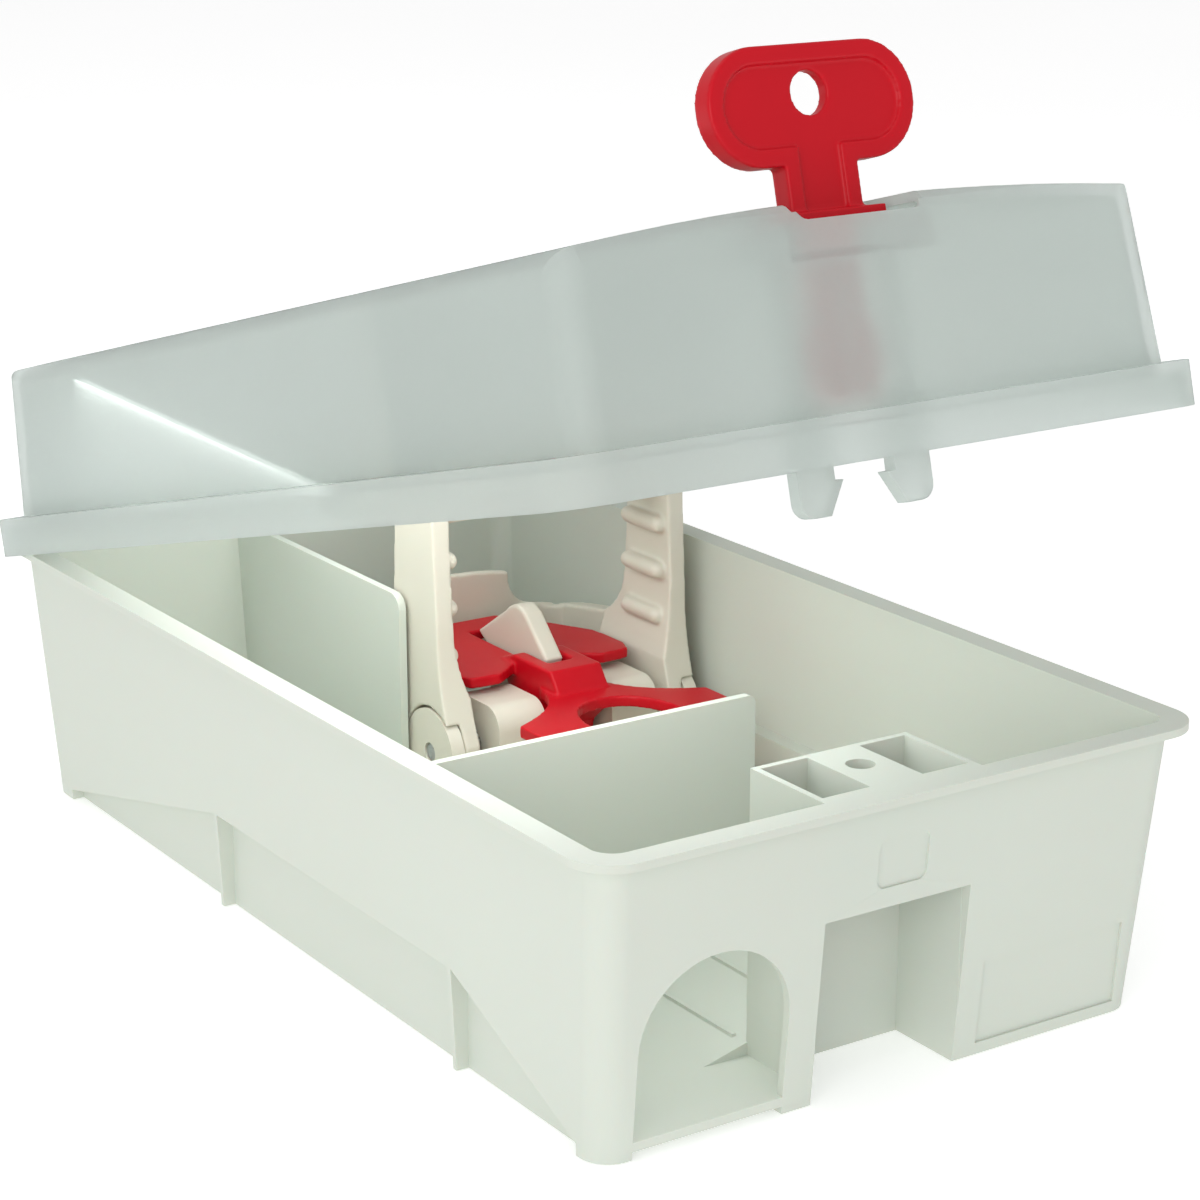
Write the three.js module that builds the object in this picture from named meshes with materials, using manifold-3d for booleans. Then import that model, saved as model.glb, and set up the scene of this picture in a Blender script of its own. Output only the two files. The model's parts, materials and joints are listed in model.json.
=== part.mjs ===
// Lockable mouse-trap station: a lidded tray with a spring jaw trap inside.
// Millimetres, +Z up. The origin is the centre of the tray's flat underside, the short end with
// the arched entrance faces -Y, and the lid is hinged at +Y. The lid stands ajar, the jaw is set.

import * as THREE from "three";
import { mergeVertices } from "three/addons/utils/BufferGeometryUtils.js";
import Module from "manifold-3d";

const wasm = await Module();
wasm.setup();

// ---------------------------------------------------------------- driving sizes

const GAP = 0.3; // between pieces that touch
const EPS = 0.5; // how far a cut runs past the face it opens
const SLIVER = 0.004; // edges shorter than this are merged

// Tray.
const TRAY_W = 116; // over the rim lip
const TRAY_L = 209;
const TRAY_H = 50;
const LIP_T = 1.3;
const LIP_OUT = 3.1;
const LIP_R = 7.6;
const WALL_T = 1.4;
const FLOOR_T = 1.6;
const DRAFT_X = 2.4; // how much further out the wall stands at the lip than at the base
const DRAFT_Y = 4.6;
const WALL_R = 5;
const FOOT_H = 1.3; // height of the walls under the floor slab at the entrance
const LIP_END_IN = 10.5; // the lip stops this far from the back end, clear of the lid's back skirt

// Arched entrances, one in front of each side lane.
const ARCH_W = 27.2;
const ARCH_TOP = 30.6;
const ARCH_X = -33;

// Divider walls.
const DIVIDER_T = 1.5;
const LANE_X = -8.6; // divider along the tray, beside the trap
const LANE_FRONT_Y = 34.5;
const CROSS_Y = -46.7; // divider across the front of the trap bay
const CROSS_END_X = 11.4;
const DIVIDER_TOP = 47.3;

// Ramp on the front chamber's floor, rising towards the trap's side.
const RAMP_X = [-23.4, CROSS_END_X];
const RAMP_TOP = 11.6;
const RAMP_RIBS = { count: 3, first: 8, pitch: 11.5, width: 0.8, height: 0.5, inset: 3 };
const RAMP_HOLLOW_X = 6; // the hollow under it starts this far up the ramp

// Lock block at the middle of the front wall.
const LOCK_HALF = 15;
const LOCK_L = 22.7; // from the tray's front end to the block's back
const LOCK_WALL = 1.1;
const WEB_HALF = 5; // solid web between the two hook pockets
const WEB_T = 7.2;
const NOTCH_L = 6.3; // from the tray's front end to the back of the notch
const WEB_HOLE_R = 2.3;
const WEB_HOLE_IN = 15; // from the tray's front end
const NOTCH_TOP = 30.7;
const NOTCH_HALF = 14;

// Side hollows along the foot of both long walls.
const SIDE_DEPTH = 2.2;
const SIDE_TOP = 17.4;
const SIDE_FLAT = [-57, 24];
const SIDE_RAMP_IN = [13.5, 16.5]; // from the front and the back end
const SIDE_RAMP_Z = 2;
const SIDE_RIB = 1;

// Panels on the front wall.
const PANEL = { x: [18.4, 47.4], z: [2, 16.3], depth: 0.4 };
const BADGE = { half: 4.8, z: [34, 42.2], depth: 0.3, radius: 1.6 };

// Lid, given as it lies when shut.
const SKIRT_CLEAR = 0.5; // skirt to tray lip, long sides
const SKIRT_CLEAR_END = 0.6; // and at the ends
const SKIRT_R = 8.5;
const SKIRT_T = 1.1;
const SKIRT_DROP = 5.4; // how far the skirt hangs below its ledge's underside
const LEDGE_T = 1.7;
const LEDGE_CLEAR = 0.4; // ledge over the lip's top
const LEDGE_IN_X = 5; // ledge width on the long sides
const LEDGE_IN_Y = 2.9;
const LID_T = 1.5;
const LID_RISE = 27.7; // ledge to shoulder
const LID_DRAFT = 1.4;
const LID_CROWN = 3;
const LID_EDGE_R = 3;
const LID_CORNER_R = 4.8;
const LID_OPEN = 14.95; // degrees that the lid stands ajar
const LID_RIB_T = 1.2; // inner rib over the cross divider

// Lid hinge.
const HINGE_OUT = 4.5; // pin's axis behind the tray's back end
const HINGE_Z = 51.5;
const HINGE_X = 38; // middle of each knuckle
const KNUCKLE_R = 2.3;
const KNUCKLE_L = 10;
const LUG_T = 3;
const LUG_R = 3;
const LUG_Z = 36; // foot of the lug's arm on the tray wall
const LUG_ARM = 8; // height of that arm
const LUG_SIDE = 0.5; // lug to the lid's skirt beside it
const PIN_R = 1.25;
const RUN = 0.3; // running clearance round pins

// Key pocket in the lid.
const POCKET_HALF = 12;
const POCKET_IN = [4.1, 18.5]; // from the tray's front end
const POCKET_FLOOR = 75.5;
const POCKET_WALL = 1.2;
const NOSE_Z = 80.1; // lowered edge of the front wall at the pocket
const NOSE_HALF = 9.9;

// Key.
const KEY_IN = 13; // from the tray's front end
const KEY_T = 4;
const BOW_HALF = 18.7;
const BOW_Z = [88.5, 106.1];
const BOW_HOLE_R = 3.3;
const BOW_HOLE_Z = 98.9;
const SHAFT_HALF = 6.6;
const BEAD_W = 2.7; // raised border
const WEB_SINK = 0.8; // how far the web lies below the border, each side
const FLANGE_HALF = 10;
const FLANGE_Z = [79.9, 81.6];
const FLANGE_T = 6;
const SLOT_CLEAR = 0.4; // key to the pocket's slot, each side
const BLADE_HALF = 4.4;
const SPREAD_HALF = 5.7;
const SPREAD_Z = [57, 63];
const TIP_Z = 53.3;
const SPLIT_W = 2.6;

// Snap hooks under the lid.
const HOOK_IN_Y = 12.25; // middle of the hooks, from the tray's front end
const HOOK_T = 2.5;
const HOOK_IN = 5.6;
const HOOK_OUT = 12.4;
const BARB = 1.5;
const BARB_CLEAR = 0.4; // barb below the web's underside
const BARB_SLANT = [3, 5.1];
const HOOK_TOE_R = 2.5;
const STEM_X = [8.4, 11.4];
const STEM_FOOT = 54;

// Trap.
const TRAP_X = 20.5;
const TRAP_HALF = 27.6;
const AXLE_Y = 28;
const AXLE_Z = 18.5;
const AXLE_R = 1.6;
const BASE_T = 2;
const BASE_Y = [-24, 66];
const EAR_T = 2.7;
const DRUM_R = 8.4; // ends of the base round the axle
const EAR_FOOT_IN = 2.8; // an ear's foot is narrower than its disc, clear of the shut jaw
const RING_R = 8.1; // the jaw's own rings on the axle
const RING_T = 3.2;
const SPRING_GAP = 3.8; // room for one coil between ring and barrel
const BARREL_IN = 7.3;
const BARREL_CORNER = 4.5;
const JAW_TOP = 68;
const ARM_Y = [24.8, 40.6];
const ARM_TAPER = 1.4; // each edge of an arm leans in this much at its top
const ARM_T = 3.6;
const ARM_ROOT_Z = 43; // the arm's flare to its ring and lever starts here
const WINDOW_TOP = 61.5; // underside of the jaw's closed end
const TOOTH_R = 1.7;
const TOOTH_L = 13;
const TOOTH_PITCH = 9;
const TOOTH_Z0 = 36.5;
const TEETH = 4;
const TOOTH_IN = 4.5; // middle of a tooth inwards from the arm's outer face
const LOWER_TOP = 12.4;
const LOWER_TEETH = 4;
const LOWER_PITCH = 8;
const HOOP_BACK = 66.4;
const HOOP_T = 1.6;
const HOOP_RIM = 34; // at the arms
const HOOP_RIM_BACK = 29.4;
const HOOP_FOOT = 23;
const HOOP_R = 9;
const TAB_HALF = 12.5;
const TAB_TOP = 39.5;

// Trigger.
const PEDAL_Z = 30.5; // upper face
const PEDAL_T = 2.1;
const PAD_Z = 28;
const BLOCK_HALF = 6;
const BLOCK_TOP = 32;
const PAD_REACH = 20.5; // half width over the two front pads
const PAD_FRONT_Y = -6;
const STEM_R = 5.4;
const STEM_HALF = 5.2;

// Bait cup and post.
const POST_T = 3.8;
const POST_TOP = 40;
const POST_CLEAR = 0.8; // to the trigger's slot, each side
const CUP_R = 9;
const CUP_Y = 44;
const CUP_H = 9;
const CUP_WALL = 1.4;

// Torsion springs.
const WIRE_R = 0.45;
const COIL_R = 3.4;
const COIL_TURNS = 2;

// ---------------------------------------------------------------- sizes worked out

const lipHalfX = TRAY_W / 2;
const lipHalfY = TRAY_L / 2;
const frontY = -lipHalfY;
const lipEndY = lipHalfY - LIP_END_IN;
const lockBackY = frontY + LOCK_L;
const notchBackY = frontY + NOTCH_L;
const webHoleY = frontY + WEB_HOLE_IN;
const sideRamp = [frontY + SIDE_RAMP_IN[0], lipHalfY - SIDE_RAMP_IN[1]];
const hingeY = lipHalfY + HINGE_OUT;
const pocketY = POCKET_IN.map((inward) => frontY + inward);
const keyY = frontY + KEY_IN;
const hookY = [frontY + HOOK_IN_Y - HOOK_T / 2, frontY + HOOK_IN_Y + HOOK_T / 2];
const wallTopX = lipHalfX - LIP_OUT;
const wallTopY = lipHalfY - LIP_OUT;
const wallBaseX = wallTopX - DRAFT_X;
const wallBaseY = wallTopY - DRAFT_Y;
const lipUnder = TRAY_H - LIP_T;
const lockInner = LOCK_HALF - LOCK_WALL;
const lockBayBack = lockBackY - LOCK_WALL;
const webUnder = TRAY_H - WEB_T;
const skirtInX = lipHalfX + SKIRT_CLEAR;
const skirtInY = lipHalfY + SKIRT_CLEAR_END;
const skirtHalfX = skirtInX + SKIRT_T;
const skirtHalfY = skirtInY + SKIRT_T;
const ledgeUnder = TRAY_H + LEDGE_CLEAR;
const ledgeTop = ledgeUnder + LEDGE_T;
const bodyHalfX = skirtHalfX - LEDGE_IN_X;
const bodyHalfY = skirtHalfY - LEDGE_IN_Y;
const shoulderZ = ledgeTop + LID_RISE;
const barbZ = webUnder - BARB_CLEAR;
const hookTop = POCKET_FLOOR - POCKET_WALL - GAP;
const floorTop = FOOT_H + FLOOR_T;
const earIn = TRAP_HALF - EAR_T;
const ringOut = earIn - GAP;
const ringIn = ringOut - RING_T;
const barrelOut = ringIn - SPRING_GAP;
const armIn = TRAP_HALF - ARM_T;
const baseFoot = floorTop + GAP;
const baseTop = baseFoot + BASE_T;

// ---------------------------------------------------------------- materials

const material = (color, roughness, opacity = 1) => new THREE.MeshStandardMaterial({
  color, roughness, metalness: 0, opacity, transparent: opacity < 1,
});
const trayPlastic = material(0xd3dad1, 0.6);
const lidPlastic = material(0xd0e2df, 0.45, 0.6);
const trapPlastic = material(0xddd9cb, 0.5);
const redPlastic = material(0xc8141e, 0.3);
const steel = new THREE.MeshStandardMaterial({ color: 0xa8aaac, roughness: 0.3, metalness: 1 });

// ---------------------------------------------------------------- solids

function solid(geometry) {
  const bare = geometry.clone();
  bare.deleteAttribute("normal");
  bare.deleteAttribute("uv");
  const welded = mergeVertices(bare, 1e-4);
  return new wasm.Manifold(new wasm.Mesh({
    numProp: 3,
    vertProperties: new Float32Array(welded.attributes.position.array),
    triVerts: new Uint32Array(welded.index.array),
  }));
}

function mesh(name, body, surface) {
  const { vertProperties, triVerts } = body.simplify(SLIVER).getMesh();
  const geometry = new THREE.BufferGeometry();
  geometry.setAttribute("position", new THREE.BufferAttribute(new Float32Array(vertProperties), 3));
  geometry.setIndex(new THREE.BufferAttribute(new Uint32Array(triVerts), 1));
  geometry.computeVertexNormals();
  const result = new THREE.Mesh(geometry, surface);
  result.name = name;
  return result;
}

const union = (first, ...rest) => rest.reduce((sum, next) => sum.add(next), first);
const cut = (first, ...rest) => rest.reduce((sum, next) => sum.subtract(next), first);

function block(x, y, z) {
  const geometry = new THREE.BoxGeometry(x[1] - x[0], y[1] - y[0], z[1] - z[0]);
  geometry.translate((x[0] + x[1]) / 2, (y[0] + y[1]) / 2, (z[0] + z[1]) / 2);
  return solid(geometry);
}

const outline = (points) => new THREE.Shape(points.map(([u, v]) => new THREE.Vector2(u, v)));

function extruded(shape, depth, curveSegments = 8) {
  return new THREE.ExtrudeGeometry(shape, { depth, bevelEnabled: false, curveSegments });
}

// A shape drawn in (x, y) and extruded up from z[0] to z[1].
function prismZ(shape, z, curveSegments) {
  return solid(extruded(shape, z[1] - z[0], curveSegments).translate(0, 0, z[0]));
}

// A shape drawn in (x, z) and extruded along y.
function prismY(shape, y, curveSegments) {
  const geometry = extruded(shape, y[1] - y[0], curveSegments);
  return solid(geometry.rotateX(Math.PI / 2).translate(0, y[1], 0));
}

// A shape drawn in (y, z) and extruded along x.
function prismX(shape, x, curveSegments) {
  const geometry = extruded(shape, x[1] - x[0], curveSegments);
  const turn = new THREE.Matrix4().makeBasis(
    new THREE.Vector3(0, 1, 0), new THREE.Vector3(0, 0, 1), new THREE.Vector3(1, 0, 0),
  );
  return solid(geometry.applyMatrix4(turn).translate(x[0], 0, 0));
}

function rodX(y, z, radius, x, sides = 24) {
  const geometry = new THREE.CylinderGeometry(radius, radius, x[1] - x[0], sides);
  return solid(geometry.rotateZ(Math.PI / 2).translate((x[0] + x[1]) / 2, y, z));
}

function rodY(x, z, radius, y, sides = 24) {
  const geometry = new THREE.CylinderGeometry(radius, radius, y[1] - y[0], sides);
  return solid(geometry.translate(x, (y[0] + y[1]) / 2, z));
}

function rodZ(x, y, radius, z, sides = 24) {
  const geometry = new THREE.CylinderGeometry(radius, radius, z[1] - z[0], sides);
  return solid(geometry.rotateX(Math.PI / 2).translate(x, y, (z[0] + z[1]) / 2));
}

function roundedRect(halfX, halfY, radius, centreY = 0) {
  const shape = new THREE.Shape();
  const low = centreY - halfY;
  const high = centreY + halfY;
  shape.moveTo(-halfX + radius, low);
  shape.absarc(halfX - radius, low + radius, radius, -Math.PI / 2, 0);
  shape.absarc(halfX - radius, high - radius, radius, 0, Math.PI / 2);
  shape.absarc(-halfX + radius, high - radius, radius, Math.PI / 2, Math.PI);
  shape.absarc(-halfX + radius, low + radius, radius, Math.PI, 1.5 * Math.PI);
  return shape;
}

// A rounded-rectangle prism whose half sizes change evenly from foot to head.
function drafted(foot, head, radius, z, curveSegments) {
  const geometry = extruded(roundedRect(foot[0], foot[1], radius), z[1] - z[0], curveSegments);
  const place = geometry.attributes.position;
  for (let i = 0; i < place.count; i += 1) {
    const t = place.getZ(i) / (z[1] - z[0]);
    place.setX(i, place.getX(i) * (1 + t * (head[0] / foot[0] - 1)));
    place.setY(i, place.getY(i) * (1 + t * (head[1] / foot[1] - 1)));
  }
  return solid(geometry.translate(0, 0, z[0]));
}

const both = (make) => make(1).add(make(-1));
const span = (side, near, far) => (side > 0 ? [near, far] : [-far, -near]);

// ---------------------------------------------------------------- tray

const wallHalf = (z) => [
  wallBaseX + DRAFT_X * (z / lipUnder),
  wallBaseY + DRAFT_Y * (z / lipUnder),
];

// The tray's outer form, drawn in by an inset.
function trayForm(inset, z) {
  const foot = wallHalf(z[0]).map((half) => half - inset);
  const head = wallHalf(z[1]).map((half) => half - inset);
  return drafted(foot, head, WALL_R - inset, z);
}

function archShape(halfWidth, low, top) {
  const shape = new THREE.Shape();
  shape.moveTo(ARCH_X - halfWidth, low);
  shape.lineTo(ARCH_X + halfWidth, low);
  shape.absarc(ARCH_X, top - halfWidth, halfWidth, 0, Math.PI);
  return shape;
}

// The outline of a side hollow in (y, z), grown by a margin.
function sideOutline(grow) {
  return outline([
    [sideRamp[0] - grow, -EPS], [sideRamp[1] + grow, -EPS],
    [sideRamp[1] + grow, SIDE_RAMP_Z], [SIDE_FLAT[1] + grow, SIDE_TOP + grow],
    [SIDE_FLAT[0] - grow, SIDE_TOP + grow], [sideRamp[0] - grow, SIDE_RAMP_Z],
  ]);
}

function sideHollow(side) {
  const deep = wallBaseX - SIDE_DEPTH;
  const hollow = prismX(sideOutline(0), span(side, deep, wallTopX + EPS));
  const ribX = span(side, deep - EPS, wallTopX + 1);
  const ribs = SIDE_FLAT.map((y, i) => {
    const inward = i === 0 ? y + SIDE_RIB : y - SIDE_RIB;
    return block(ribX, [Math.min(y, inward), Math.max(y, inward)], [-1, SIDE_TOP + EPS]);
  });
  return cut(hollow, ...ribs);
}

function lockBlock() {
  const back = block([-LOCK_HALF, LOCK_HALF], [-wallTopY, lockBackY], [0, TRAY_H]);
  return back.intersect(trayForm(0, [0, TRAY_H]));
}

function lockCuts() {
  const bayY = [notchBackY, lockBayBack];
  const bay = block([-lockInner, lockInner], bayY, [-EPS, webUnder]);
  const webZ = [webUnder - EPS, TRAY_H + EPS];
  const pockets = both((side) => block(span(side, WEB_HALF, lockInner), bayY, webZ));
  const hole = rodZ(0, webHoleY, WEB_HOLE_R, webZ);
  const notchY = [-lipHalfY, notchBackY + EPS];
  const notch = block([-NOTCH_HALF, NOTCH_HALF], notchY, [-EPS, NOTCH_TOP]);
  return union(bay, pockets, hole, notch);
}

function dividers() {
  const round = 3;
  const lane = new THREE.Shape();
  lane.moveTo(LANE_FRONT_Y, FOOT_H);
  lane.lineTo(wallTopY - WALL_T / 2, FOOT_H);
  lane.lineTo(wallTopY - WALL_T / 2, DIVIDER_TOP);
  lane.lineTo(LANE_FRONT_Y + round, DIVIDER_TOP);
  lane.absarc(LANE_FRONT_Y + round, DIVIDER_TOP - round, round, Math.PI / 2, Math.PI);
  const cross = new THREE.Shape();
  cross.moveTo(-wallTopX + WALL_T / 2, FOOT_H);
  cross.lineTo(CROSS_END_X, FOOT_H);
  cross.absarc(CROSS_END_X - round / 2, DIVIDER_TOP - round / 2, round / 2, 0, Math.PI / 2);
  cross.lineTo(-wallTopX + WALL_T / 2, DIVIDER_TOP);
  const along = prismX(lane, [LANE_X - DIVIDER_T / 2, LANE_X + DIVIDER_T / 2]);
  const across = prismY(cross, [CROSS_Y - DIVIDER_T / 2, CROSS_Y + DIVIDER_T / 2]);
  return along.add(across).intersect(trayForm(WALL_T / 2, [0, TRAY_H]));
}

const rampY = [lockBackY - GAP, CROSS_Y];

function rampZ(x) {
  return floorTop + (RAMP_TOP - floorTop) * ((x - RAMP_X[0]) / (RAMP_X[1] - RAMP_X[0]));
}

// The ramp with low ribs across it.
function ramp() {
  const [foot, head] = RAMP_X;
  const wedge = prismY(outline([
    [foot, FOOT_H], [head, FOOT_H], [head, RAMP_TOP], [foot, floorTop],
  ]), rampY);
  const ribY = [rampY[0] + RAMP_RIBS.inset, rampY[1] - RAMP_RIBS.inset];
  const ribs = Array.from({ length: RAMP_RIBS.count }, (_, i) => {
    const x = foot + RAMP_RIBS.first + i * RAMP_RIBS.pitch;
    const ribX = [x - RAMP_RIBS.width / 2, x + RAMP_RIBS.width / 2];
    return block(ribX, ribY, [FOOT_H, rampZ(x) + RAMP_RIBS.height]);
  });
  return union(wedge, ...ribs);
}

// The hollow under the ramp, open at the tray's underside.
function rampHollow() {
  const near = RAMP_X[0] + RAMP_HOLLOW_X;
  const far = RAMP_X[1] - WALL_T;
  const profile = outline([
    [near, -EPS], [far, -EPS], [far, rampZ(far) - floorTop], [near, rampZ(near) - floorTop],
  ]);
  return prismY(profile, [lockBackY + WALL_T, CROSS_Y - WALL_T]);
}

// A lug plate: an arm out from the back wall with an ear round the hinge axis.
function lug(x) {
  const shape = new THREE.Shape();
  shape.moveTo(wallTopY - WALL_T, LUG_Z);
  shape.lineTo(hingeY + LUG_R - 1, LUG_Z + LUG_ARM / 2);
  shape.lineTo(hingeY + LUG_R, LUG_Z + LUG_ARM);
  shape.absarc(hingeY, HINGE_Z, LUG_R, 0, Math.PI);
  shape.lineTo(hingeY - LUG_R, LUG_Z + LUG_ARM);
  shape.lineTo(wallTopY - WALL_T, LUG_Z + LUG_ARM);
  return prismX(shape, [x - LUG_T / 2, x + LUG_T / 2]);
}

const lugOffset = KNUCKLE_L / 2 + GAP + LUG_T / 2;
const lugPlaces = [-HINGE_X, HINGE_X].flatMap((x) => [x - lugOffset, x + lugOffset]);
const pinHalf = lugOffset + LUG_T / 2;

// The holes for both hinge pins, through lugs and knuckles alike.
function pinBores() {
  const reach = pinHalf + 1;
  return both((side) => {
    const x = span(side, HINGE_X - reach, HINGE_X + reach);
    return rodX(hingeY, HINGE_Z, PIN_R + RUN, x, 20);
  });
}

function frontPanels() {
  const behind = trayForm(0, [0, TRAY_H]);
  const panel = block(PANEL.x, [-lipHalfY, -wallBaseY / 2], PANEL.z);
  const [low, high] = BADGE.z;
  const badge = roundedRect(BADGE.half, (high - low) / 2, BADGE.radius, (low + high) / 2);
  const badgeCut = prismY(badge, [-lipHalfY, -wallBaseY / 2]);
  return union(
    panel.subtract(behind.translate([0, PANEL.depth, 0])),
    badgeCut.subtract(behind.translate([0, BADGE.depth, 0])),
  );
}

function tray() {
  const outer = trayForm(0, [0, TRAY_H]);
  const cavity = trayForm(WALL_T, [floorTop, TRAY_H + EPS]);
  const lip = prismZ(roundedRect(lipHalfX, lipHalfY, LIP_R), [lipUnder, TRAY_H]);
  const lipPastEnd = block([-lipHalfX - 1, lipHalfX + 1], [lipEndY, lipHalfY + 1], [0, TRAY_H + 1]);
  const sideWalls = both((side) => {
    const deep = wallBaseX - SIDE_DEPTH - WALL_T;
    return prismX(sideOutline(WALL_T), span(side, deep, wallTopX));
  }).intersect(outer);
  const shell = cut(union(outer, cut(lip, lipPastEnd)), cavity);
  const furnished = union(shell, sideWalls, lockBlock(), dividers(), ramp());
  const archX = [ARCH_X - ARCH_W / 2, ARCH_X + ARCH_W / 2];
  const archDepth = DRAFT_Y + LIP_OUT + WALL_T;
  const arches = both((side) => {
    const y = span(side, lipHalfY - archDepth, lipHalfY);
    const underY = span(side, lipHalfY - archDepth - FLOOR_T, lipHalfY);
    const underside = block(archX, underY, [-EPS, FOOT_H]);
    return union(prismY(archShape(ARCH_W / 2, floorTop, ARCH_TOP), y, 12), underside);
  });
  const hollows = both((side) => sideHollow(side));
  const opened = cut(furnished, arches, lockCuts(), hollows, frontPanels(), rampHollow());
  const lugs = lugPlaces.map((x) => lug(x));
  return cut(union(opened, ...lugs), pinBores());
}

// ---------------------------------------------------------------- lid

// The lid's domed body, drawn in by an inset on every side but the open foot.
function lidForm(inset, footZ) {
  const halfX = (z) => bodyHalfX - inset - LID_DRAFT * ((z - ledgeUnder) / LID_RISE);
  const halfY = (z) => bodyHalfY - inset - LID_DRAFT * ((z - ledgeUnder) / LID_RISE);
  const edge = shoulderZ - inset;
  const crownZ = (x) => edge + LID_CROWN * (1 - (x / halfX(edge)) ** 2);
  const round = Math.max(LID_EDGE_R - inset, 0.6);
  const front = new THREE.Shape();
  front.moveTo(-halfX(footZ), footZ);
  front.lineTo(halfX(footZ), footZ);
  front.lineTo(halfX(edge - round), edge - round);
  front.quadraticCurveTo(halfX(edge), edge, halfX(edge) - round, crownZ(halfX(edge) - round));
  const steps = 12;
  for (let i = 1; i < steps; i += 1) {
    const x = (halfX(edge) - round) * (1 - (2 * i) / steps);
    front.lineTo(x, crownZ(x));
  }
  front.lineTo(-halfX(edge) + round, crownZ(halfX(edge) - round));
  front.quadraticCurveTo(-halfX(edge), edge, -halfX(edge - round), edge - round);
  const side = new THREE.Shape();
  const top = edge + LID_CROWN;
  side.moveTo(-halfY(footZ), footZ);
  side.lineTo(halfY(footZ), footZ);
  side.lineTo(halfY(edge - round), edge - round);
  side.quadraticCurveTo(halfY(edge), top - 1, halfY(edge) - round - 1, top + 0.1);
  side.lineTo(-halfY(edge) + round + 1, top + 0.1);
  side.quadraticCurveTo(-halfY(edge), top - 1, -halfY(edge - round), edge - round);
  const plan = drafted(
    [halfX(footZ), halfY(footZ)],
    [halfX(top + 1), halfY(top + 1)],
    LID_CORNER_R - inset / 2,
    [footZ, top + 1],
    6,
  );
  const across = prismY(front, [-lipHalfY - 5, lipHalfY + 5], 5);
  const along = prismX(side, [-lipHalfX - 5, lipHalfX + 5], 5);
  return plan.intersect(across).intersect(along);
}

function lidSkirt() {
  const low = ledgeUnder - SKIRT_DROP;
  const outer = prismZ(roundedRect(skirtHalfX, skirtHalfY, SKIRT_R), [low, ledgeTop], 6);
  const inner = prismZ(roundedRect(skirtInX, skirtInY, LIP_R), [low - EPS, ledgeUnder], 6);
  return outer.subtract(inner);
}

function keyPocket() {
  const outerHalf = POCKET_HALF + POCKET_WALL;
  const outerBack = pocketY[1] + POCKET_WALL;
  const z = [POCKET_FLOOR - POCKET_WALL, shoulderZ];
  return block([-outerHalf, outerHalf], [-bodyHalfY + LID_T / 2, outerBack], z);
}

function keyPocketCuts() {
  const above = shoulderZ + 2 * LID_CROWN;
  const well = block([-POCKET_HALF, POCKET_HALF], pocketY, [POCKET_FLOOR, above]);
  const slotX = SPREAD_HALF + SLOT_CLEAR;
  const slotY = KEY_T / 2 + SLOT_CLEAR;
  const slotZ = [POCKET_FLOOR - 2 * POCKET_WALL, POCKET_FLOOR + EPS];
  const slot = block([-slotX, slotX], [keyY - slotY, keyY + slotY], slotZ);
  const nose = new THREE.Shape();
  const rise = POCKET_HALF + EPS;
  const brow = shoulderZ + LID_CROWN;
  nose.moveTo(-NOSE_HALF, NOSE_Z);
  nose.lineTo(NOSE_HALF, NOSE_Z);
  nose.bezierCurveTo(rise - 1, NOSE_Z, NOSE_HALF + 1, brow, rise, brow);
  nose.lineTo(rise, above);
  nose.lineTo(-rise, above);
  nose.lineTo(-rise, brow);
  nose.bezierCurveTo(-NOSE_HALF - 1, brow, -rise + 1, NOSE_Z, -NOSE_HALF, NOSE_Z);
  return union(well, slot, prismY(nose, [-skirtHalfY, pocketY[1]]));
}

function lidShell() {
  const outer = lidForm(0, ledgeUnder);
  const cavity = lidForm(LID_T, ledgeUnder - EPS);
  const ribX = [-bodyHalfX + LID_T / 2, CROSS_END_X];
  const ribY = [CROSS_Y - LID_RIB_T / 2, CROSS_Y + LID_RIB_T / 2];
  const rib = block(ribX, ribY, [ledgeUnder + 1, shoulderZ + LID_CROWN]);
  const inside = union(rib, keyPocket()).intersect(lidForm(LID_T / 2, ledgeUnder));
  const shell = union(outer, lidSkirt()).subtract(cavity);
  const knuckles = both((side) => {
    const x = span(side, HINGE_X - KNUCKLE_L / 2, HINGE_X + KNUCKLE_L / 2);
    const web = block(x, [skirtHalfY - SKIRT_T, hingeY], [HINGE_Z - KNUCKLE_R, ledgeTop]);
    return union(web, rodX(hingeY, HINGE_Z, KNUCKLE_R, x, 20));
  });
  const lugHalf = LUG_T / 2 + LUG_SIDE;
  const lugSlots = lugPlaces.map((x) => block(
    [x - lugHalf, x + lugHalf],
    [bodyHalfY, skirtHalfY + 1],
    [ledgeUnder - SKIRT_DROP - 1, ledgeTop + 1],
  ));
  return cut(union(shell, inside, knuckles), keyPocketCuts(), pinBores(), ...lugSlots);
}

// A snap hook: a stem from under the key pocket, a wide toe and an inward barb.
function hook(side) {
  const toe = barbZ - BARB_SLANT[1];
  const profile = new THREE.Shape();
  profile.moveTo(HOOK_IN, STEM_FOOT - 2);
  profile.lineTo(HOOK_IN, barbZ);
  profile.lineTo(HOOK_IN - BARB, barbZ);
  profile.lineTo(HOOK_IN - BARB + BARB_SLANT[0], toe);
  profile.absarc(HOOK_OUT - HOOK_TOE_R, toe + HOOK_TOE_R, HOOK_TOE_R, -Math.PI / 2, 0);
  profile.lineTo(HOOK_OUT, STEM_FOOT - 2);
  profile.lineTo(STEM_X[1], STEM_FOOT);
  profile.lineTo(STEM_X[1], hookTop);
  profile.lineTo(STEM_X[0], hookTop);
  profile.lineTo(STEM_X[0], STEM_FOOT);
  const right = prismY(profile, hookY, 5);
  return side > 0 ? right : right.mirror([1, 0, 0]);
}

function hingePin(side) {
  return rodX(hingeY, HINGE_Z, PIN_R, span(side, HINGE_X - pinHalf, HINGE_X + pinHalf), 16);
}

// ---------------------------------------------------------------- key

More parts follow.
